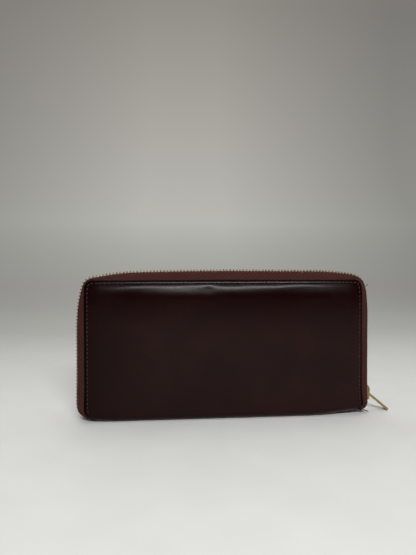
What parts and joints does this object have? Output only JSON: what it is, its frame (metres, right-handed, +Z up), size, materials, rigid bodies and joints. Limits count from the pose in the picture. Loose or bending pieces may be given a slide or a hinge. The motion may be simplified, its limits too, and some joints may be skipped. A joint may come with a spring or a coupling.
{
  "type": "long zip-around wallet",
  "caption": "Zip-around long wallet in dark burgundy leather, standing on its spine, with brass teeth and slider, card slots and a coin pocket inside.",
  "frame": {"origin": "middle of the spine's flat underside", "axes": "+X along the spine to the slider's end, -Y towards the front cover, +Z up from the spine to the zip"},
  "size_m": [0.2164, 0.024, 0.0995],
  "materials": {
    "cover_leather": "glossy oxblood leather, black painted edge",
    "board": "thin fibre board, hidden",
    "lining": "burgundy twill",
    "card_leather": "thin smooth leather",
    "zip_tape": "woven burgundy tape",
    "brass": "antique brass",
    "stitch_thread": "burgundy thread"
  },
  "bodies": {
    "rear_cover": {"rear_cover_leather": "cover_leather", "rear_stiffener_board": "board", "rear_lining": "lining", "rear_card_tier_1": "card_leather", "rear_card_tier_2": "card_leather", "rear_card_tier_3": "card_leather", "rear_cover_stitching": "stitch_thread", "spine_leather": "cover_leather", "spine_lining": "lining", "rear_zip_tape": "zip_tape", "rear_zip_teeth": "brass", "front_zip_tape_ends": "zip_tape", "front_zip_teeth_ends": "brass", "zip_top_stops": "brass", "zip_bottom_stop": "brass", "left_gusset": "lining", "right_gusset": "lining"},
    "front_cover": {"front_cover_leather": "cover_leather", "front_stiffener_board": "board", "front_lining": "lining", "front_card_tier_1": "card_leather", "front_card_tier_2": "card_leather", "front_card_tier_3": "card_leather", "front_cover_stitching": "stitch_thread", "front_zip_tape": "zip_tape", "front_zip_teeth": "brass"},
    "coin_pocket": {"coin_pocket_front_wall": "card_leather", "coin_pocket_rear_wall": "card_leather", "coin_pocket_lining": "lining", "coin_zip_front_tape": "zip_tape", "coin_zip_rear_tape": "zip_tape", "coin_zip_front_teeth": "brass", "coin_zip_rear_teeth": "brass", "coin_zip_stops": "brass"},
    "zip_slider": {"zip_slider_body": "brass", "zip_slider_crown": "brass"},
    "zip_pull": {"zip_pull_tab": "brass"},
    "coin_slider": {"coin_slider_body": "brass", "coin_slider_crown": "brass"},
    "coin_pull": {"coin_pull_tab": "brass"}
  },
  "joints": [
    {"name": "front_cover_fold", "type": "hinge", "parent": "rear_cover", "child": "front_cover", "pos_m": [0, -0.0108, 0.005], "axis": [1, 0, 0], "range_deg": [0, 45], "deforming": ["left_gusset", "right_gusset"]},
    {"name": "coin_pocket_swing", "type": "hinge", "parent": "rear_cover", "child": "coin_pocket", "pos_m": [0, 0, 0.00945], "axis": [1, 0, 0], "range_deg": [0, 22.5]},
    {"name": "zip_slider_travel", "type": "slide", "parent": "rear_cover", "child": "zip_slider", "axis": [0, 0, 1], "range_m": [0, 0.05]},
    {"name": "zip_pull_swing", "type": "hinge", "parent": "zip_slider", "child": "zip_pull", "pos_m": [0.102, 0, 0.0121], "axis": [0, -1, 0], "range_deg": [-48.5, 125.5]},
    {"name": "coin_slider_travel", "type": "slide", "parent": "coin_pocket", "child": "coin_slider", "axis": [-1, 0, 0], "range_m": [0, 0.11]},
    {"name": "coin_pull_swing", "type": "hinge", "parent": "coin_slider", "child": "coin_pull", "pos_m": [0.0563, 0, 0.0829], "axis": [0, 1, 0], "range_deg": [0, 160]}
  ],
  "couplings": [
    {"joint": "coin_pocket_swing", "follows": "front_cover_fold", "ratio": 0.5}
  ]
}
